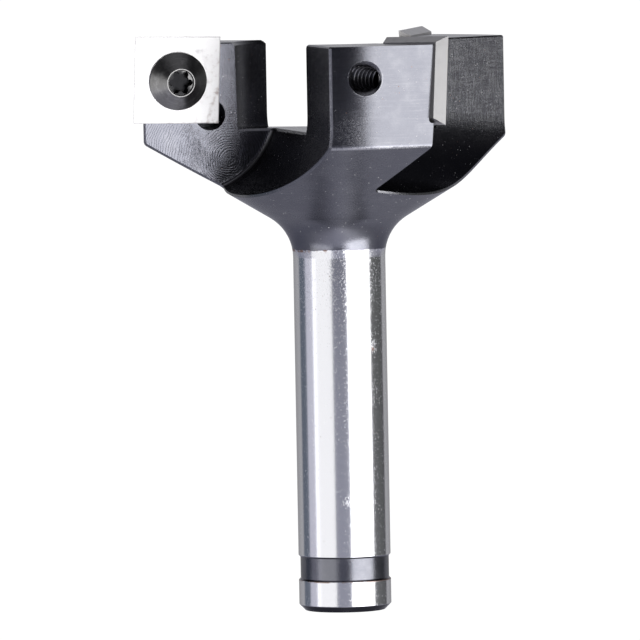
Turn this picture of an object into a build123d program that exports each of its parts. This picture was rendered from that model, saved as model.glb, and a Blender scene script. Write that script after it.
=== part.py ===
from build123d import *
from math import cos, radians, sin, tan
import os

os.makedirs("parts", exist_ok=True)

# Surfacing router bit standing on the end of its shank: one turned and milled steel body that
# carries three square carbide inserts, each held by one screw. Millimetres, +Z up, the origin
# at the centre of the shank's end face, the cutting edges at the top.

# Shank
shank_diameter = 12.7
end_chamfer = 0.85
groove_bottom = 4.2
groove_top = 7.65
groove_depth = 0.25

# Head, as it is turned before it is milled
neck_height = 52.3  # where the shank's line would meet the cone's
neck_fillet = 6.35
cone_angle = 31.0  # above the horizontal
head_height = 26.0  # above the neck
shoulder_fillet = 0.8
recess_diameter = 28.0
recess_depth = 12.0
recess_edge = 0.5
rim_chamfer = 0.35
edge_break = 0.2

# Inserts
wings = 3
first_wing_angle = 73.3
insert_size = 12.0
insert_thickness = 1.5
insert_relief = 30.0
cutting_diameter = 55.0
cutting_rise = 1.1  # the highest corner of an insert above the head
rake_offset = 4.64  # that corner behind the wing's radius
axial_rake = 5.0
dish_angle = 1.2
cutting_overhang = 0.9  # that corner beyond the head's side
edge_projection = 0.45  # the cutting face in front of the wing's face
seat_clearance = 0.05
pocket_root_radius = 0.5

# Gullets
wall_offset = 7.0
gullet_radius = 12.5
gullet_height = 5.0  # its lowest line above the neck
root_radius = 0.6

# Screws
screw_diameter = 4.0
screw_reach = 3.8  # into the body
screw_draw = 0.14  # towards the pocket's corner, so that the screw pulls the insert into it
thread_clearance = 0.05
insert_hole_clearance = 0.3
bore_reach = 0.4  # past the end of the screw, where the core of its thread goes on
core_diameter = 3.5
hole_depth = 9.4  # it breaks out through the head's side
drill_point = 118.0
mouth_diameter = 4.75  # of the countersink round that opening
mouth_setback = 1.35  # its middle before the end of the hole
screw_head_diameter = 8.0
screw_head_height = 2.1
screw_rim = 0.35
screw_top_diameter = 3.9
socket_diameter = 3.35
socket_lobe = 0.45
socket_waist = 2.4
socket_lobes = 6
socket_depth = 1.6
socket_lip = 0.12
socket_entry = 0.25
relief_diameter = 4.3
relief_depth = 2.4
relief_inset = 0.9

shank_radius = shank_diameter / 2
cutting_radius = cutting_diameter / 2
head_radius = cutting_radius - cutting_overhang
head_top = neck_height + head_height
shoulder_height = neck_height + (head_radius - shank_radius) * tan(radians(cone_angle))
clear = 2 * cutting_diameter  # longer than any cut through the head

# Each wing is drawn pointing along +X with its cutting face towards +Y, and turned into place
# afterwards. The face leans forward at the top by the axial rake, and the insert turns in it by
# the dish angle, so that its outer top corner is the highest.
corner_x = (cutting_radius**2 - rake_offset**2) ** 0.5
corner = (corner_x, -rake_offset, head_top + cutting_rise)
into_body = (0, -cos(radians(axial_rake)), sin(radians(axial_rake)))
cutting_plane = Plane(origin=corner, x_dir=(1, 0, 0), z_dir=into_body)
face_origin = (0, -rake_offset, head_top + cutting_rise)
wing_plane = Plane(origin=face_origin, x_dir=(1, 0, 0), z_dir=into_body).offset(edge_projection)
insert_centre = Pos(-insert_size / 2, -insert_size / 2)
insert_plane = Plane(cutting_plane.location * Rotation(0, 0, dish_angle) * insert_centre)
seat_plane = insert_plane.offset(insert_thickness)
screw_plane = Plane(insert_plane.location * Pos(-screw_draw, -screw_draw))
hole_plane = screw_plane.offset(insert_thickness)
wing_places = PolarLocations(0, wings, start_angle=first_wing_angle).locations

# The countersink faces the head's axis, on the side where the screw's hole comes out.
mouth = (hole_plane.offset(hole_depth - mouth_setback)).origin
mouth_radial = Vector(mouth.X, mouth.Y, 0).normalized()
mouth_origin = mouth_radial * head_radius + Vector(0, 0, mouth.Z)
mouth_plane = Plane(origin=mouth_origin, z_dir=-mouth_radial)

# What milling takes away in front of one wing: the gullet, then the insert's pocket with a
# relief hole at its inner corner, and the drilled hole of the screw with its countersink.
gullet_drop = head_height + cutting_rise - gullet_height - gullet_radius
pocket_reach = insert_size / 2 - edge_projection * tan(radians(insert_relief)) + seat_clearance
hole_radius = screw_diameter / 2 + thread_clearance
core_radius = core_diameter / 2
relief_place = -pocket_reach + relief_inset
with BuildPart() as wing_cut:
    with BuildSketch(wing_plane):
        with BuildLine():
            wall = Line((wall_offset, clear), (wall_offset, -gullet_drop))
            floor = RadiusArc(
                wall @ 1,
                (wall_offset + gullet_radius, -gullet_drop - gullet_radius),
                -gullet_radius,
            )
            Polyline(floor @ 1, ((floor @ 1).X + clear, (floor @ 1).Y), (clear, clear), wall @ 0)
        make_face()
    extrude(amount=-clear)
    deepest = wing_cut.faces().sort_by(Axis((0, 0, 0), into_body))[-1]
    fillet(deepest.edges(), root_radius)
    with BuildSketch(seat_plane):
        with Locations((-pocket_reach, -pocket_reach)):
            Rectangle(clear, clear, align=(Align.MIN, Align.MIN))
    extrude(amount=-clear)
    seat = wing_cut.faces().sort_by(Axis((0, 0, 0), into_body))[-1]
    fillet(seat.edges(), pocket_root_radius)
    with BuildSketch(seat_plane.offset(relief_depth)):
        with Locations((relief_place, relief_place)):
            Circle(relief_diameter / 2)
    extrude(amount=-relief_depth - insert_thickness)
    with BuildSketch(hole_plane):
        Circle(hole_radius)
    extrude(amount=screw_reach + bore_reach)
    with BuildSketch(hole_plane):
        Circle(core_radius)
    extrude(amount=hole_depth)
    with Locations(hole_plane.offset(hole_depth)):
        Cone(
            core_radius,
            0,
            core_radius / tan(radians(drill_point / 2)),
            align=(Align.CENTER, Align.CENTER, Align.MIN),
        )
    with Locations(mouth_plane):
        Cone(
            mouth_diameter / 2,
            0,
            mouth_diameter / 2,
            align=(Align.CENTER, Align.CENTER, Align.MIN),
        )
        Cylinder(
            mouth_diameter / 2,
            mouth_diameter,
            align=(Align.CENTER, Align.CENTER, Align.MAX),
        )

# The body is one piece from shank to wings. Its end is chamfered, and a ring near the end is
# turned a little smaller. The wings stand round a flat-bottomed recess.
recess_floor = head_top - recess_depth
groove_radius = shank_radius - groove_depth
mid_wing = first_wing_angle - 90 / wings  # where no gullet crosses the seam of the revolve
with BuildPart() as cutter_body:
    with BuildSketch(Plane.XZ.rotated((0, 0, mid_wing))) as profile:
        with BuildLine():
            Polyline(
                (0, 0),
                (shank_radius - end_chamfer, 0),
                (shank_radius, end_chamfer),
                (shank_radius, groove_bottom),
                (groove_radius, groove_bottom + groove_depth),
                (groove_radius, groove_top - groove_depth),
                (shank_radius, groove_top),
                (shank_radius, neck_height),
                (head_radius, shoulder_height),
                (head_radius, head_top),
                (0, head_top),
                close=True,
            )
        make_face()
        for corner_at, radius in (
            ((shank_radius, neck_height), neck_fillet),
            ((head_radius, shoulder_height), shoulder_fillet),
        ):
            fillet(profile.vertices().sort_by_distance(corner_at)[0], radius)
    revolve(axis=Axis.Z)
    with Locations(*wing_places):
        add(wing_cut.part, mode=Mode.SUBTRACT)
    # A wing's face leaves the cone along a hyperbola, and from there the chamfer follows the
    # smooth rim of the gullet as far as the top of the next wing.
    chamfer(cutter_body.edges().filter_by(GeomType.HYPERBOLA), rim_chamfer)
    top = cutter_body.faces().filter_by(Axis.Z).group_by(Axis.Z)[-1]
    chamfer(top.edges().filter_by(GeomType.LINE), edge_break)
    with Locations((0, 0, head_top)):
        Hole(recess_diameter / 2, recess_depth)
    top = cutter_body.faces().filter_by(Axis.Z).group_by(Axis.Z)[-1]
    chamfer(top.edges().filter_by(GeomType.CIRCLE).group_by(SortBy.RADIUS)[0], recess_edge)
    # A wing's face meets the wall of the recess along an ellipse.
    ellipses = cutter_body.edges().filter_by(GeomType.ELLIPSE)
    chamfer(ellipses.sort_by_distance((0, 0, recess_floor))[:wings], rim_chamfer)
cutter_body.part.label = "cutter_body"
export_step(cutter_body.part, "parts/cutter_body.step")

# An insert lies face up at the origin. All four sides fall away behind the cutting face.
with BuildPart() as insert:
    with BuildSketch():
        Rectangle(insert_size, insert_size)
    extrude(amount=-insert_thickness, taper=insert_relief)
    Hole(screw_diameter / 2 + insert_hole_clearance)

# A screw stands on the underside of its head, a cone with a six-lobe socket. The socket's mouth
# is dished inside a narrow lip.
with BuildPart() as screw:
    with BuildSketch(Plane.XZ) as screw_profile:
        with BuildLine():
            Polyline(
                (0, -insert_thickness - screw_reach),
                (screw_diameter / 2, -insert_thickness - screw_reach),
                (screw_diameter / 2, 0),
                (screw_head_diameter / 2, 0),
                (screw_head_diameter / 2, screw_rim),
                (screw_top_diameter / 2, screw_head_height),
                (screw_top_diameter / 2 - socket_lip, screw_head_height),
                (socket_diameter / 2, screw_head_height - socket_entry),
                (0, screw_head_height - socket_entry),
                close=True,
            )
        make_face()
    revolve(axis=Axis.Z)
    with BuildSketch(Plane.XY.offset(screw_head_height)) as socket:
        Circle(socket_waist / 2)
        with PolarLocations(socket_diameter / 2 - socket_lobe, socket_lobes):
            Circle(socket_lobe)
    extrude(amount=-socket_depth, mode=Mode.SUBTRACT)

face_up = Rotation(180, 0, 0)
for number, place in enumerate(wing_places, start=1):
    placed_insert = place * insert_plane.location * face_up * insert.part
    placed_insert.label = f"insert_{number}"
    export_step(placed_insert, f"parts/insert_{number}.step")
    placed_screw = place * screw_plane.location * face_up * screw.part
    placed_screw.label = f"insert_screw_{number}"
    export_step(placed_screw, f"parts/insert_screw_{number}.step")
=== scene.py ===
# Looks of the surfacing router bit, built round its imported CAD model. Metres, in the model's own frame:
# +Z up the tool's axis, the origin at the centre of the shank's end, the photo taken from -Y.
import math

import bmesh
import bpy
from mathutils import Matrix, Vector


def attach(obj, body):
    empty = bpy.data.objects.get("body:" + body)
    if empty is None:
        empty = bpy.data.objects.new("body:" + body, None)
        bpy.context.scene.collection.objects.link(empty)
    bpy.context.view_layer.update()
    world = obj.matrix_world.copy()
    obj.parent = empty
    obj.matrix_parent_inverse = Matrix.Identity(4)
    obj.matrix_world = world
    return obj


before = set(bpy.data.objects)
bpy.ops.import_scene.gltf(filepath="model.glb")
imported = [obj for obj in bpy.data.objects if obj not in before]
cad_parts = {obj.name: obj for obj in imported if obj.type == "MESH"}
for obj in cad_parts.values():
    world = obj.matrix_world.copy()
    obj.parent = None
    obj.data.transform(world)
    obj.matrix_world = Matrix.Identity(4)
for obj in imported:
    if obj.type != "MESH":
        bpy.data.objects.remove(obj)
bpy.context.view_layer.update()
mm = 0.001


class Signal:
    # One output socket of a node tree. Sums and products of signals add Math nodes.
    def __init__(self, tree, socket):
        self.tree, self.socket = tree, socket

    def node(self, kind, values=None, out=0, **settings):
        made = self.tree.nodes.new(kind)
        for name, value in settings.items():
            setattr(made, name, value)
        for key, value in (values or {}).items():
            plug(self.tree, made.inputs[key], value)
        return Signal(self.tree, made.outputs[out])

    def math(self, operation, *others):
        return self.node("ShaderNodeMath", dict(enumerate((self, *others))), operation=operation)

    def vector(self, operation, *others, out=0):
        return self.node("ShaderNodeVectorMath", dict(enumerate((self, *others))), out, operation=operation)

    def __add__(self, other):
        return self.math("ADD", other)

    def __radd__(self, other):
        return self.math("ADD", other)

    def __sub__(self, other):
        return self.math("SUBTRACT", other)

    def __rsub__(self, other):
        return (self * -1).math("ADD", other)

    def __mul__(self, other):
        return self.math("MULTIPLY", other)

    def __rmul__(self, other):
        return self.math("MULTIPLY", other)

    def __truediv__(self, other):
        return self.math("DIVIDE", other)

    def capped(self):
        return self.math("MINIMUM", 1.0)

    def scaled(self, factor):
        return self.node("ShaderNodeVectorMath", {0: self, 3: factor}, operation="SCALE")

    def parts(self):
        made = self.tree.nodes.new("ShaderNodeSeparateXYZ")
        plug(self.tree, made.inputs[0], self)
        return [Signal(self.tree, socket) for socket in made.outputs]

    def joined(self, y, z):
        return self.node("ShaderNodeCombineXYZ", {0: self, 1: y, 2: z})

    def step(self, low, high, start=0.0, end=1.0):
        # a smooth step up from low to high
        values = {0: self, 1: low, 2: high, 3: start, 4: end}
        return self.node("ShaderNodeMapRange", values, interpolation_type="SMOOTHSTEP")

    def below(self, low, high):
        # 1 up to low, 0 from high on
        return self.step(low, high, 1.0, 0.0)

    def within(self, middle, core, edge):
        # 1 as far as core from a middle value, 0 from edge on
        return (self - middle).math("ABSOLUTE").below(core, edge)

    def noise(self, scale, detail=2.0, roughness=0.5):
        values = {"Vector": self, "Scale": scale, "Detail": detail, "Roughness": roughness}
        return self.node("ShaderNodeTexNoise", values)

    def cells(self, scale):
        return self.node("ShaderNodeTexVoronoi", {"Vector": self, "Scale": scale})

    def mixed(self, first, second):
        # of two colours
        return self.node("ShaderNodeMix", {0: self, 6: first, 7: second}, 2, data_type="RGBA")

    def blended(self, first, second):
        # of two values
        return self.node("ShaderNodeMix", {0: self, 2: first, 3: second}, 0, data_type="FLOAT")

    def bump(self, distance, strength):
        return self.node("ShaderNodeBump", {"Height": self, "Distance": distance, "Strength": strength})


def plug(tree, target, value):
    if isinstance(value, Signal):
        tree.links.new(value.socket, target)
    else:
        target.default_value = value


def colour(red, green, blue):
    return (red, green, blue, 1.0)


def newMaterial(name):
    # The material, the object's coordinates in millimetres, and its Principled shader.
    material = bpy.data.materials.new(name)
    material.use_nodes = True
    tree = material.node_tree
    shader = tree.nodes["Principled BSDF"]
    place = tree.nodes.new("ShaderNodeTexCoord")
    return material, Signal(tree, place.outputs["Object"]).scaled(1 / mm), shader


def finishShader(material, shader, sockets):
    for name, value in sockets.items():
        plug(material.node_tree, shader.inputs[name], value)


# Sizes of the CAD model that the pieces and patterns here follow, in millimetres and degrees.
bit = {
    "shankRadius": 6.35,
    "ringBottom": 4.2,  # the dark ring near the end
    "ringTop": 9.0,  # above that ring
    "finishLine": 49.8,
    "neckHeight": 52.3,
    "coneAngle": 31,
    "wings": 3,
    "firstWing": 73.3,
    "headRadius": 26.6,
    "corner": Vector((27.106, -4.64, 79.4)),
    "rake": 5.0,
    "dish": 1.2,
    "insertSize": 12.0,
    "insertThickness": 1.5,
    "screwDraw": 0.14,
    "edgeProjection": 0.45,
    "reliefHole": (-4.89, -4.89),  # its middle, from the insert's
    "mouthAlong": 8.05,  # the middle of the screw hole's countersink, along the hole
    "mouthRadius": 2.375,
    "recessRadius": 14.0,
    "recessFloor": 66.3,
}


def wingAxes():
    # An insert's own directions on a wing along +X: outwards, upwards and into the body.
    rake, dish = math.radians(bit["rake"]), math.radians(bit["dish"])
    inward = Vector((0, -math.cos(rake), math.sin(rake)))
    across = Vector((1, 0, 0))
    up = inward.cross(across)
    return across * math.cos(dish) + up * math.sin(dish), up * math.cos(dish) - across * math.sin(dish), inward


def wingFrame(number):
    # The middle of an insert's cutting face, its z into the body, turned to its wing.
    base = Matrix(wingAxes()).transposed().to_4x4()
    base.translation = bit["corner"]
    half = bit["insertSize"] / 2
    around = Matrix.Rotation(math.radians(bit["firstWing"] + 360 / bit["wings"] * (number - 1)), 4, "Z")
    return around @ base @ Matrix.Translation((-half, -half, 0))


def mouthMiddle():
    # Where the axis of the countersink leaves the head, on a wing along +X.
    across, up, inward = wingAxes()
    back = bit["insertSize"] / 2 + bit["screwDraw"]
    middle = bit["corner"] - (across + up) * back + inward * (bit["insertThickness"] + bit["mouthAlong"])
    return Vector((middle.x, middle.y, 0)).normalized() * bit["headRadius"] + Vector((0, 0, middle.z))


print("materials")


class Wing:
    # Coordinates of a point as on a wing that points along +X, the same for all three wings,
    # and as on its insert: u outwards, v upwards, depth from the cutting face into the body.
    def __init__(self, place):
        x, y, z = place.parts()
        self.radius = (x * x + y * y).math("SQRT")
        share = 2 * math.pi / bit["wings"]
        angle = y.math("ARCTAN2", x) - math.radians(bit["firstWing"]) + share / 2
        folded = angle.math("FLOORED_MODULO", share) - share / 2
        here = (self.radius * folded.math("COSINE")).joined(self.radius * folded.math("SINE"), z)
        self.fromMouth = here.vector("DISTANCE", tuple(mouthMiddle()), out=1)
        fromCorner = here.vector("SUBTRACT", tuple(bit["corner"]))
        self.u, self.v, self.depth = (
            fromCorner.vector("DOT_PRODUCT", tuple(axis), out=1) for axis in wingAxes()
        )
        self.u = self.u + bit["insertSize"] / 2
        self.v = self.v + bit["insertSize"] / 2
        self.flat = self.u.joined(self.v, 0.0)
        self.fromScrew = self.reach(-bit["screwDraw"], -bit["screwDraw"])

    def reach(self, u, v):
        # how far a point lies from a line along the insert's axis
        return self.flat.vector("DISTANCE", (u, v, 0), out=1)


def near(place, middle, core, edge):
    # 1 as far as core from a point, 0 from edge on
    return place.vector("DISTANCE", middle, out=1).below(core, edge)


# Steel of the body: ground bright on the shank, black oxide on all that the grinding doesn't reach.
# A patch has a middle, the radii of its core and edge, and for scuffs a strength.
steel = {
    "black": colour(0.142, 0.144, 0.163),
    "blackWorn": colour(0.24, 0.24, 0.255),
    "unlit": colour(0.02, 0.02, 0.024),
    "bright": colour(0.60, 0.60, 0.62),
    "scuffed": colour(0.80, 0.80, 0.82),
    "stain": colour(0.20, 0.09, 0.045),
    "dust": colour(0.55, 0.54, 0.53),
    "lowShine": colour(0.6, 0.6, 0.6),  # tints what it mirrors at a low angle
    "millArcs": (-7.6, -10.9),  # their centre on the wing's face
    "millPitch": 0.34,
    "rubbedPatch": ((1.3, -26.5, 66.9), 0.8, 4.2),
    "scuffPatches": (
        ((0.6, -6.3, 15.3), 0.2, 1.3, 0.14),
        ((4.3, -4.6, 36.5), 0.3, 1.6, 0.12),
        ((4.3, -4.6, 30), 0.3, 2.5, 0.06),
    ),
    "rustPatch": ((4.35, -4.6, 36.1), 0.1, 0.5),
    "bumpHeight": 0.02,
    # where one finish passes into the next: heights
    "handledFrom": (34, 48),
    "neckFrom": (50.3, 53.8),
    "neckTo": (55, 55.4),
    "wornFrom": (55.5, 56.5),
    "wornTo": (66, 68),
    "rootFrom": (57, 58),
    "wallsFrom": (60, 66),
    # along x: stains at the finish line, a wall's side with painted shade and its side with painted light
    "stainedTo": (-1.2, 0.4),
    "wallDark": (0, 4),
    "wallLight": (6, 12),
    # on a wing, where shade is painted: round the screw's hole and the relief hole, the face's inner side, the
    # outside's far side
    "holeRadius": (1.9, 2.0),
    "reliefRadius": (2.1, 2.3),
    "reliefDepth": (3, 1, 1.2),
    "faceDark": (-11.5, -8.5),
    "outsideDark": (11.8, 14.2),
}


class BodyRegions:
    # Which part of the body a point lies on. A region is 1 inside and fades to 0 at its edge.
    def __init__(self, place):
        self.place = place
        self.x, self.y, self.z = place.parts()
        self.wing = Wing(place)
        self.fine = place.noise(6.0, 3, 0.8)
        radius, depth, z = self.wing.radius, self.wing.depth, self.z

        # above the ground shank, which ends a little ragged, and the dark ring and end face
        ragged = place.noise(1.3, 4, 0.6) * 0.5 - 0.25
        self.head = (z + ragged).step(bit["finishLine"] - 0.04, bit["finishLine"] + 0.04)
        ring = radius.below(bit["shankRadius"] - 0.05, bit["shankRadius"] - 0.02)
        self.black = (self.head + ring * z.below(bit["ringTop"], bit["ringTop"] + 0.1)).capped()

        # turned: the cone with its neck, and the head's outside
        slope = math.radians(bit["coneAngle"])
        rise, spread = z - bit["neckHeight"], radius - bit["shankRadius"]
        self.fromCone = rise * math.cos(slope) - spread * math.sin(slope)
        neck = z.step(*steel["neckFrom"]) * z.below(*steel["neckTo"])
        self.cone = self.fromCone.within(0, 0.1, 0.3).math("MAXIMUM", neck)
        self.outside = radius.step(bit["headRadius"] - 0.15, bit["headRadius"] - 0.1)
        self.turned = self.cone + self.outside

        # milled: the wing's face, the walls round it, and the rounded corner at the gullet's root
        self.face = depth.within(bit["edgeProjection"], 0.06, 0.12) * (1 - self.turned)
        self.walls = (1 - self.turned) * (1 - self.face) * z.step(*steel["wallsFrom"])
        self.root = depth.within(0.12, 0.2, 0.34) * (1 - self.turned) * z.step(*steel["rootFrom"])


def paintedShade(body, mottle):
    # Painted shade: the holes, corners and sides of faces that are painted darker, and the end face's edge.
    wing, x, z = body.wing, body.x, body.z
    hole = wing.fromScrew.below(*steel["holeRadius"])
    hole = hole * wing.radius.below(bit["headRadius"] - 0.6, bit["headRadius"] - 0.3)
    relief = wing.reach(*bit["reliefHole"]).below(*steel["reliefRadius"])
    relief = relief * wing.depth.within(*steel["reliefDepth"])
    recess = wing.radius.below(bit["recessRadius"] + 0.02, bit["recessRadius"] + 0.1)
    recess = recess * z.step(bit["recessFloor"] + 0.1, bit["recessFloor"] + 0.8)
    shadeAmount = hole + relief + recess * 0.55
    # painted shade on the milled face, most on its inner side, on the walls towards -x, and on the outside
    # towards its far side
    shadeAmount = shadeAmount + body.face * (0.12 + wing.u.below(*steel["faceDark"]) * 0.35)
    shadeAmount = shadeAmount + body.walls * x.below(*steel["wallDark"]) * 0.3
    shadeAmount = shadeAmount + body.outside * (wing.depth + mottle * 3).step(*steel["outsideDark"]) * 0.5
    # and painted shade on the end face's edge
    return (shadeAmount * body.head + z.below(0.6, 0.95)).capped()


def millMarks(body):
    # Arcs that the milling cutter left on the wing's face.
    place = body.place
    fromCentre = body.wing.reach(*steel["millArcs"])
    wobble = place.noise(0.35, 3, 0.55) * 1.4
    arcs = body.face * ((fromCentre + wobble) * (2 * math.pi / steel["millPitch"])).math("SINE")
    arcs = arcs * fromCentre.step(0.3, 1.5, 0.15, 1.15) * fromCentre.step(6, 10, 1.0, 0.6)
    return arcs * place.noise(0.7, 2).step(0.3, 0.55, 0.3, 1.0)


def dustSpecks(body):
    place = body.place
    often = place.noise(0.45, 2).step(0.42, 0.56) * (0.45 + body.cone * 0.55)
    small = place.cells(3.1).below(0.08, 0.2) * place.noise(0.9, 2).step(0.60, 0.68) * 0.7
    specks = place.cells(1.25).below(0.06, 0.13) * often + small
    return (specks * body.head * place.noise(1.7, 1).step(0.3, 0.7, 0.25, 0.85)).capped()


def blackOxide(body):
    # Mottled, grained, worn lighter at the lower edges and where it is rubbed, with pale dust, a painted
    # highlight along the gullets' roots, painted light and shade on the walls, and painted shade in holes,
    # corners and on the faces' darker sides.
    place, x, y, z = body.place, body.x, body.y, body.z
    mottle = place.noise(0.4, 4, 0.6)
    grain = place.noise(4.5, 4, 0.75)
    turning = x.joined(y, z * 28).noise(0.16, 4, 0.7)
    weave = x.joined(y, z * 0.12).noise(3.4, 3, 0.6) + (x * 0.12).joined(y * 0.12, z).noise(3.4, 3, 0.6)
    weave = body.walls * weave.step(0.86, 1.2)
    worn = body.head * body.fromCone.math("ABSOLUTE").within(0.16, 0.1, 0.15)
    worn = worn * z.step(*steel["wornFrom"]) * z.below(*steel["wornTo"]) * grain.step(0.35, 0.6)
    lip = body.wing.fromMouth.within(bit["mouthRadius"], 0.03, 0.12)
    lip = lip * place.noise(0.8, 3, 0.7).step(0.38, 0.62) * 0.22
    rubbed = near(place, *steel["rubbedPatch"]) * body.fine.step(0.43, 0.62)
    dust = dustSpecks(body)

    light = mottle.step(0.4, 0.8) * 0.3 + grain.step(0.5, 0.8) * 0.25 + body.turned * turning.step(0.5, 0.7) * 0.2
    # body.root adds a painted highlight along the gullet's rounded root
    light = light + rubbed * 0.8 + weave * 0.75 + worn * 0.9 + body.cone * 0.2 + body.root * 0.9
    # painted light on the walls towards +x
    light = light + body.walls * x.step(*steel["wallLight"]) * 0.3
    tone = light.capped().mixed(steel["black"], steel["blackWorn"])
    tone = lip.mixed(tone, steel["bright"])
    # painted shade: holes, corners and darker sides mixed towards the unlit colour
    tone = (paintedShade(body, mottle) * 0.85).mixed(tone, steel["unlit"])
    rough = 0.12 + mottle * 0.05 + grain * 0.07 + body.face * 0.03 + body.walls * 0.05
    rough = rough + rubbed * 0.12 + body.cone * 0.09 + lip * 0.6 + body.root * 0.15
    height = grain * (0.75 - body.turned * 0.45) + body.turned * turning * 0.35
    height = height + millMarks(body) * 0.26 + weave * 0.2
    return {"colour": dust.mixed(tone, steel["dust"]), "rough": rough, "height": height, "dust": dust}


def groundShank(body):
    # Fine rings from grinding, scuffs, and a little rust in pits, at the finish line and on the ring.
    place, x, y, z = body.place, body.x, body.y, body.z
    rings = x.joined(y, z * 25).noise(0.22, 4, 0.7)
    handled = z.step(*steel["handledFrom"]) * 0.05
    for middle, core, edge, strength in steel["scuffPatches"]:
        handled = handled + near(place, middle, core, edge) * strength
    scuffs = (x.joined(y, z * 0.7).noise(4.2, 5, 0.75) + handled).step(0.57, 0.70)
    pits = place.cells(1.0).below(0.05, 0.09) * place.noise(0.22, 1).step(0.56, 0.62)
    rust = near(place, *steel["rustPatch"]) * body.fine.step(0.4, 0.55)
    line = z.within(bit["finishLine"] - 0.12, 0.02, 0.3) * x.below(*steel["stainedTo"])
    rust = rust + line * place.noise(0.9, 3, 0.6).step(0.5, 0.62)
    ringEdge = z.within(bit["ringBottom"], 0.05, 0.16)
    rust = rust + ringEdge * place.noise(0.6, 3, 0.6).step(0.38, 0.55) * 0.8
    return {
        "colour": (scuffs * 0.5).mixed(steel["bright"], steel["scuffed"]),
        "rough": 0.12 + scuffs * 0.2 + rings * 0.06,
        "height": rings * 0.06 + body.fine * 0.12 - scuffs * 0.16 - pits * 0.2,
        "rust": (rust + pits * 0.7).capped(),
    }


def bodySteel():
    material, place, shader = newMaterial("bodySteel")
    body = BodyRegions(place)
    oxide, shank = blackOxide(body), groundShank(body)
    clean = body.black.mixed(shank["colour"], oxide["colour"])
    smooth = body.black.blended(shank["rough"], oxide["rough"])
    height = body.black.blended(shank["height"], oxide["height"])
    finishShader(
        material,
        shader,
        {
            "Base Color": (shank["rust"] * 0.85).mixed(clean, steel["stain"]),
            "Metallic": 1 - oxide["dust"],
            "Roughness": (oxide["dust"] + shank["rust"] * 0.4).blended(smooth, 0.75),
            "Specular Tint": steel["lowShine"],
            "Normal": height.bump(steel["bumpHeight"] * mm, 0.9),
        },
    )
    return material


carbideLook = {
    "ground": colour(0.55, 0.545, 0.54),
    "smeared": colour(0.25, 0.18, 0.155),
    "rim": colour(0.15, 0.145, 0.15),
    "rimWidth": (0.17, 0.05),  # where the darker rim begins and is full, before the edge
    "innerSide": (-5.8, -3.5),  # the sides where dirt gathers, along u and v
    "lowerSide": (-5.9, -4),
    "flank": (0.02, 0.06),  # behind the cutting edge
    "bumpHeight": 0.006,
}


def carbideMaterial():
    # Ground with fine lines. Clearance faces are a little duller than the cutting face.
    material, place, shader = newMaterial("groundCarbide")
    wing = Wing(place)
    grain = place.noise(5.0, 4, 0.75)
    lines = wing.u.joined(wing.v * 24, wing.depth * 24).noise(0.2, 4, 0.7)
    smear = place.noise(0.8, 6, 0.75).step(0.5, 0.7)
    sides = wing.u.below(*carbideLook["innerSide"]) * 0.6 + wing.v.below(*carbideLook["lowerSide"]) * 0.3
    smudge = smear * (0.02 + sides) + lines.step(0.5, 0.75) * 0.06 + grain.step(0.5, 0.8) * 0.12
    begins, full = (bit["insertSize"] / 2 - before for before in carbideLook["rimWidth"])
    rim = wing.u.math("ABSOLUTE").math("MAXIMUM", wing.v.math("ABSOLUTE")).step(begins, full)
    flank = wing.depth.step(*carbideLook["flank"])
    tone = smudge.capped().mixed(carbideLook["ground"], carbideLook["smeared"])
    tone = (rim * 0.65 * (1 - flank) + flank * 0.54).mixed(tone, carbideLook["rim"])
    finishShader(
        material,
        shader,
        {
            "Base Color": tone,
            "Metallic": 1.0,
            "Roughness": 0.34 + grain * 0.06 + smear * 0.1,
            "Normal": (grain * 0.5 + lines * 0.8).bump(carbideLook["bumpHeight"] * mm, 0.6),
        },
    )
    return material


screwLook = {
    "dark": colour(0.17, 0.168, 0.165),
    "worn": colour(0.36, 0.355, 0.35),
    # rim: the painted highlight on the ring round the top; socket and socketFloor: painted shade in the socket
    "rim": colour(0.45, 0.44, 0.43),
    "socket": colour(0.06, 0.06, 0.06),
    "socketFloor": colour(0.014, 0.014, 0.015),
    "rimRadius": 1.88,
    "socketRadius": (1.66, 1.74),
    "socketTop": (-1.86, -1.8),  # depths
    "socketBottom": (-0.7, -0.52),
    "ledgeRadius": (1.64, 1.7),
    "ledgeDepth": -1.85,  # round the six lobes, just inside the head's top
    "brightSideFrom": (0.7, 1.5),  # towards the pocket's corner
    "bumpHeight": 0.016,
}


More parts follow.
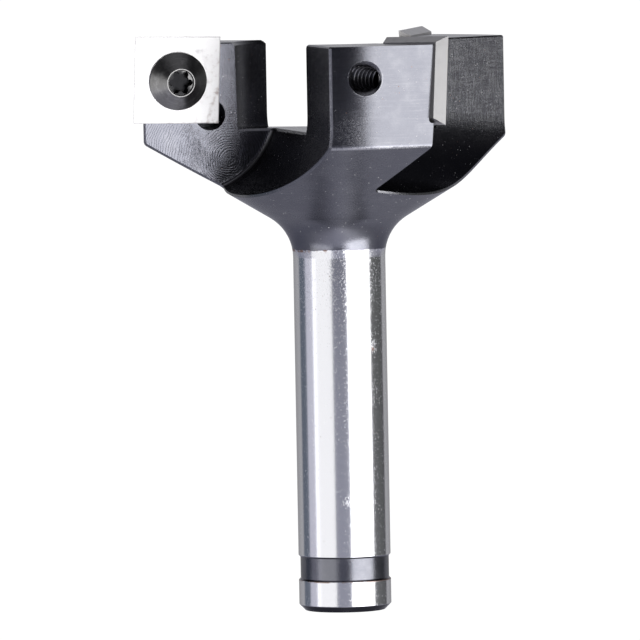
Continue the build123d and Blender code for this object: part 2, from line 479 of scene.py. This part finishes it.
def screwMaterial():
    # Blackened and turned, with painted shade in the socket and on the ledge round its lobes, less where the
    # driver has rubbed the socket's edge bright, and a painted highlight on the ring round the top.
    material, place, shader = newMaterial("screwSteel")
    wing = Wing(place)
    reach, depth = wing.fromScrew, wing.depth
    grain = place.noise(5.0, 4, 0.75)
    lathe = wing.u.joined(wing.v, reach * 26).noise(0.2, 4, 0.7)
    wear = place.noise(0.7, 4, 0.65).step(0.48, 0.7)
    light = wear * 0.4 + grain.step(0.5, 0.8) * 0.4 + lathe.step(0.5, 0.7) * 0.25
    tone = light.capped().mixed(screwLook["dark"], screwLook["worn"])
    # painted shade in the socket, darkest at its floor
    socket = reach.below(*screwLook["socketRadius"]) * depth.step(*screwLook["socketTop"])
    tone = (socket * 0.8).mixed(tone, screwLook["socket"])
    tone = (socket * depth.step(*screwLook["socketBottom"])).mixed(tone, screwLook["socketFloor"])
    # painted shade on the ledge round the lobes
    ledge = reach.below(*screwLook["ledgeRadius"]) * depth.within(screwLook["ledgeDepth"], 0.03, 0.06)
    rubbed = (wing.v * 0.5 - wing.u).step(*screwLook["brightSideFrom"])
    tone = (ledge * (0.95 - rubbed * 0.8)).mixed(tone, screwLook["socketFloor"])
    # painted highlight on the ring round the top
    rim = reach.within(screwLook["rimRadius"], 0.03, 0.09) * depth.below(0.1, 0.5)
    tone = (rim * 0.2).mixed(tone, screwLook["rim"])
    finishShader(
        material,
        shader,
        {
            "Base Color": tone,
            "Metallic": 1.0,
            "Roughness": 0.26 + grain * 0.12 + wear * 0.06,
            "Normal": (grain * 0.4 + lathe * 0.6).bump(screwLook["bumpHeight"] * mm, 0.9),
        },
    )
    return material


# The thread in each screw's hole, from beyond the screw to the countersink where the hole comes out.
thread = {
    "dark": colour(0.025, 0.025, 0.028),
    "lessDark": colour(0.06, 0.06, 0.066),
    "root": 1.76,  # radii, the root's a little inside the steel
    "crest": 1.5,
    "pitch": 0.7,
    "base": 0.6,  # width of the ridge at its root, and at its crest
    "flat": 0.1,
    "start": 4.6,  # along the hole
    "end": 9.1,
    "steps": 36,  # in one turn
    "beyond": 3.6,  # how far outside the head the cone starts that trims the thread
    "brightSideFrom": (-1.3, 0.1),  # where the painted highlight on the crests begins, along v
    "bumpHeight": 0.01,
}


def threadMaterial():
    # Black oxide much darker than the body's, and crests with a painted highlight on their upper side.
    material, place, shader = newMaterial("threadSteel")
    wing = Wing(place)
    grain = place.noise(6.0, 3, 0.7)
    tone = grain.step(0.4, 0.8).mixed(thread["dark"], thread["lessDark"])
    # painted highlight on the crests, on their upper side
    crest = wing.fromScrew.below(thread["crest"] + 0.03, thread["crest"] + 0.08)
    crest = crest * wing.v.step(*thread["brightSideFrom"], 0.12, 1.0) * place.noise(0.9, 2).step(0.3, 0.65, 0.2, 0.9)
    finishShader(
        material,
        shader,
        {
            "Base Color": crest.mixed(tone, steel["bright"]),
            "Metallic": 1.0,
            "Roughness": 0.26 + grain * 0.12,
            "Normal": grain.bump(thread["bumpHeight"] * mm, 0.6),
        },
    )
    return material


bodyMaterial = bodySteel()
threadSteel = threadMaterial()
carbide = carbideMaterial()
screwSteel = screwMaterial()


def dress(node, material):
    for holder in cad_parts[node].material_slots:
        holder.material = material


dress("cutter_body", bodyMaterial)
for number in range(1, bit["wings"] + 1):
    dress(f"insert_{number}", carbide)
    dress(f"insert_screw_{number}", screwSteel)

print("threads")


def linked(name, mesh, material=None):
    data = bpy.data.meshes.new(name)
    mesh.to_mesh(data)
    mesh.free()
    thing = bpy.data.objects.new(name, data)
    bpy.context.scene.collection.objects.link(thing)
    if material:
        data.materials.append(material)
    return thing


def threadSpiral(hole):
    mesh = bmesh.new()
    profile = [
        mesh.verts.new((radius, 0, thread["start"] + along))
        for radius, along in (
            (thread["root"], -thread["base"] / 2),
            (thread["crest"], -thread["flat"] / 2),
            (thread["crest"], thread["flat"] / 2),
            (thread["root"], thread["base"] / 2),
        )
    ]
    edges = [mesh.edges.new((first, second)) for first, second in zip(profile, profile[1:] + profile[:1])]
    steps = round((thread["end"] - thread["start"]) / thread["pitch"] * thread["steps"])
    bmesh.ops.spin(
        mesh,
        geom=profile + edges,
        cent=(0, 0, 0),
        axis=(0, 0, 1),
        dvec=(0, 0, thread["pitch"] / thread["steps"]),
        angle=2 * math.pi * steps / thread["steps"],
        steps=steps,
        use_merge=False,
        use_duplicate=False,
    )
    bmesh.ops.holes_fill(mesh, edges=[edge for edge in mesh.edges if edge.is_boundary], sides=0)
    bmesh.ops.transform(mesh, matrix=Matrix.Scale(mm, 4) @ hole, verts=mesh.verts)
    bmesh.ops.recalc_face_normals(mesh, faces=mesh.faces)
    return mesh


def countersinkCone(hole):
    # A cone round the radius through the countersink, its tip inside the head.
    middle = hole @ Vector((0, 0, bit["mouthAlong"]))
    outward = Vector((middle.x, middle.y, 0)).normalized()
    size = bit["mouthRadius"] + thread["beyond"]
    mesh = bmesh.new()
    bmesh.ops.create_cone(mesh, cap_ends=True, segments=64, radius1=size, radius2=0, depth=size)
    away = bit["headRadius"] + thread["beyond"] - size / 2
    place = Matrix.Translation(outward * away + Vector((0, 0, middle.z)))
    turn = (-outward).to_track_quat("Z", "Y").to_matrix().to_4x4()
    bmesh.ops.transform(mesh, matrix=Matrix.Scale(mm, 4) @ place @ turn, verts=mesh.verts)
    return mesh


def addThread(number):
    draw = bit["screwDraw"]
    hole = wingFrame(number) @ Matrix.Translation((-draw, -draw, bit["insertThickness"]))
    name = f"hole_thread_{number}"
    piece = linked(name, threadSpiral(hole), threadSteel)
    cone = linked("cone", countersinkCone(hole))
    cut = piece.modifiers.new("countersink", "BOOLEAN")
    cut.operation, cut.solver, cut.object = "DIFFERENCE", "EXACT", cone
    trimmed = bpy.data.meshes.new_from_object(piece.evaluated_get(bpy.context.evaluated_depsgraph_get()))
    piece.modifiers.clear()
    piece.data = trimmed
    trimmed.name = name
    bpy.data.objects.remove(cone)
    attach(piece, "root")
    print(name, len(trimmed.polygons), "faces")


for number in range(1, bit["wings"] + 1):
    addThread(number)

print("stage")

# A white floor and a white dome round it, both left out of the reflections, which they would wash out.
stage = {"floor": 3.0, "floorDrop": 0.02, "dome": 3.2, "strength": 1.05}


def glowing(name, strength, tint=(1, 1, 1)):
    # A material that only glows.
    material = bpy.data.materials.new(name)
    material.use_nodes = True
    shader = material.node_tree.nodes["Principled BSDF"]
    shader.inputs["Base Color"].default_value = colour(0, 0, 0)
    shader.inputs["Roughness"].default_value = 1.0
    shader.inputs["Specular IOR Level"].default_value = 0.0
    shader.inputs["Emission Color"].default_value = colour(*tint)
    shader.inputs["Emission Strength"].default_value = strength
    return material


def addStage():
    mesh = bmesh.new()
    bmesh.ops.create_circle(mesh, cap_ends=True, segments=96, radius=stage["floor"])
    bmesh.ops.translate(mesh, vec=(0, 0, -stage["floorDrop"] * mm), verts=mesh.verts)
    floor = linked("floor", mesh, glowing("paleFloor", stage["strength"]))
    mesh = bmesh.new()
    bmesh.ops.create_uvsphere(mesh, u_segments=48, v_segments=24, radius=stage["dome"])
    bmesh.ops.reverse_faces(mesh, faces=mesh.faces)
    dome = linked("backdrop", mesh, glowing("paleBackdrop", stage["strength"]))
    for thing in (floor, dome):
        thing.visible_glossy = False
        thing.visible_shadow = False
    dome.visible_diffuse = False


addStage()

# Light as the photo's shank mirrors it: two soft boxes, the right one the stronger, a dim room round
# them and a pale table below. Azimuth is counted from the camera's side, positive to the right.
softBoxes = (
    {"name": "rightBox", "azimuth": 48, "height": -0.27, "away": 0.75, "size": (0.90, 0.88), "radiance": 3.6},
    {"name": "leftBox", "azimuth": -46.5, "height": -0.15, "away": 0.75, "size": (0.74, 0.64), "radiance": 1.4},
)
room = {
    "horizon": (  # colours by azimuth
        (-180, (0.64, 0.64, 0.66)),
        (-124, (0.64, 0.64, 0.66)),
        (-121, (0.16, 0.19, 0.24)),
        (-98, (0.16, 0.19, 0.24)),
        (-96, (0.85, 0.85, 0.97)),
        (-72, (0.85, 0.85, 0.97)),
        (-60, (0.05, 0.05, 0.06)),
        (60, (0.05, 0.05, 0.06)),
        (81, (0.14, 0.145, 0.14)),
        (119, (0.14, 0.145, 0.14)),
        (122, (0.09, 0.09, 0.095)),
        (126, (0.09, 0.09, 0.095)),
        (129, (0.66, 0.66, 0.68)),
        (180, (0.64, 0.64, 0.66)),
    ),
    "table": (  # the same
        (-180, (0.62, 0.62, 0.71)),
        (-150, (0.52, 0.52, 0.62)),
        (-118, (0.35, 0.36, 0.45)),
        (-75, (0.50, 0.50, 0.58)),
        (-40, (0.80, 0.80, 0.93)),
        (0, (1.2, 1.2, 1.36)),
        (45, (1.4, 1.4, 1.5)),
        (80, (0.6, 0.6, 0.66)),
        (113, (0.35, 0.35, 0.42)),
        (150, (0.64, 0.64, 0.74)),
        (180, (0.62, 0.62, 0.71)),
    ),
    "above": (0.02, 0.02, 0.024),
    "wall": (0.80, 0.80, 0.85),  # above the table's far side
    "ceiling": (0.42, 0.42, 0.45),
    "shadow": (0.05, 0.05, 0.06),  # the part of the table that the left box hides
}
# Where one of them passes into the next: the sine of its elevation, or for the sides its azimuth.
borders = {
    "table": (-0.17, -0.09),
    "horizon": (0.05, 0.14),
    "wall": {"side": (142, 160), "bottom": (0.03, 0.08), "top": (0.54, 0.66)},
    "ceiling": (0.72, 0.95),
    "shadow": {"left": (-74, -70), "right": (-24, -19), "bottom": (-0.46, -0.40)},
}
# Between the boxes the shank mirrors the table's front edge, and the head the dark room over it.
gapCard = {"colour": (0.43, 0.44, 0.53), "away": 0.74, "across": (-0.26, 0.24), "up": (-0.4, 0.012)}


def addLights():
    for box in softBoxes:
        data = bpy.data.lights.new(box["name"], "AREA")
        data.shape = "RECTANGLE"
        data.size, data.size_y = box["size"]
        data.energy = box["radiance"] * math.pi * data.size * data.size_y
        light = bpy.data.objects.new(box["name"], data)
        turn = math.radians(box["azimuth"])
        place = Vector((math.sin(turn), -math.cos(turn), 0)) * box["away"]
        aim = (-place).to_track_quat("-Z", "Y").to_matrix().to_4x4()
        place.z = box["height"]
        light.matrix_world = Matrix.Translation(place) @ aim
        light.visible_camera = False
        bpy.context.scene.collection.objects.link(light)


def addGapCard():
    left, right = gapCard["across"]
    low, high = gapCard["up"]
    mesh = bmesh.new()
    bmesh.ops.create_grid(mesh, x_segments=1, y_segments=1, size=0.5)
    bmesh.ops.rotate(mesh, matrix=Matrix.Rotation(math.radians(90), 3, "X"), verts=mesh.verts)
    bmesh.ops.scale(mesh, vec=(right - left, 1, high - low), verts=mesh.verts)
    middle = ((left + right) / 2, -gapCard["away"], (low + high) / 2)
    bmesh.ops.translate(mesh, vec=middle, verts=mesh.verts)
    card = linked("gapCard", mesh, glowing("gapGrey", 1.0, gapCard["colour"]))
    card.visible_camera = card.visible_shadow = card.visible_diffuse = False


def byAzimuth(azimuth, tints):
    ramp = azimuth.tree.nodes.new("ShaderNodeValToRGB")
    stops = ramp.color_ramp.elements
    while len(stops) < len(tints):
        stops.new(1.0)
    for stop, (angle, tint) in zip(stops, tints):
        stop.position = (angle + 180) / 360
        stop.color = colour(*tint)
    plug(azimuth.tree, ramp.inputs[0], (azimuth + 180) / 360)
    return Signal(azimuth.tree, ramp.outputs[0])


def addWorld():
    world = bpy.data.worlds.new("room")
    bpy.context.scene.world = world
    world.use_nodes = True
    tree = world.node_tree
    x, y, z = Signal(tree, tree.nodes.new("ShaderNodeTexCoord").outputs["Generated"]).parts()
    azimuth = x.math("ARCTAN2", y * -1) * (180 / math.pi)
    lit = z.step(*borders["table"]).mixed(byAzimuth(azimuth, room["table"]), byAzimuth(azimuth, room["horizon"]))
    shadow = azimuth.step(*borders["shadow"]["left"]) * azimuth.below(*borders["shadow"]["right"])
    shadow = shadow * z.step(*borders["shadow"]["bottom"]) * z.below(*borders["table"])
    lit = shadow.mixed(lit, colour(*room["shadow"]))
    lit = z.step(*borders["horizon"]).mixed(lit, colour(*room["above"]))
    wall = azimuth.math("ABSOLUTE").step(*borders["wall"]["side"]) * z.step(*borders["wall"]["bottom"])
    wall = wall * z.below(*borders["wall"]["top"])
    lit = wall.mixed(lit, colour(*room["wall"]))
    lit = z.step(*borders["ceiling"]).mixed(lit, colour(*room["ceiling"]))
    plug(tree, tree.nodes["Background"].inputs["Color"], lit)


addGapCard()
addLights()
addWorld()

print("camera")

# The photo's viewing angle: metres, degrees, and the lens in millimetres for a sensor 36 wide.
view = {"target": Vector((-2.8, 0, 39.95)) * mm, "away": 1.3, "down": 3.5, "roll": 1.04, "lens": 531.6}


def addCamera():
    data = bpy.data.cameras.new("photoView")
    data.lens = view["lens"]
    data.sensor_width = 36
    data.clip_start, data.clip_end = 0.05, 20
    camera = bpy.data.objects.new("photoView", data)
    down, roll = math.radians(view["down"]), math.radians(view["roll"])
    forward = Vector((0, math.cos(down), -math.sin(down)))
    right = Vector((1, 0, 0))
    up = right.cross(forward)
    across = right * math.cos(roll) - up * math.sin(roll)
    upward = right * math.sin(roll) + up * math.cos(roll)
    place = Matrix((across, upward, -forward)).transposed().to_4x4()
    place.translation = view["target"] - forward * view["away"]
    camera.matrix_world = place
    bpy.context.scene.collection.objects.link(camera)
    bpy.context.scene.camera = camera


addCamera()
bpy.context.scene.view_settings.view_transform = "Standard"
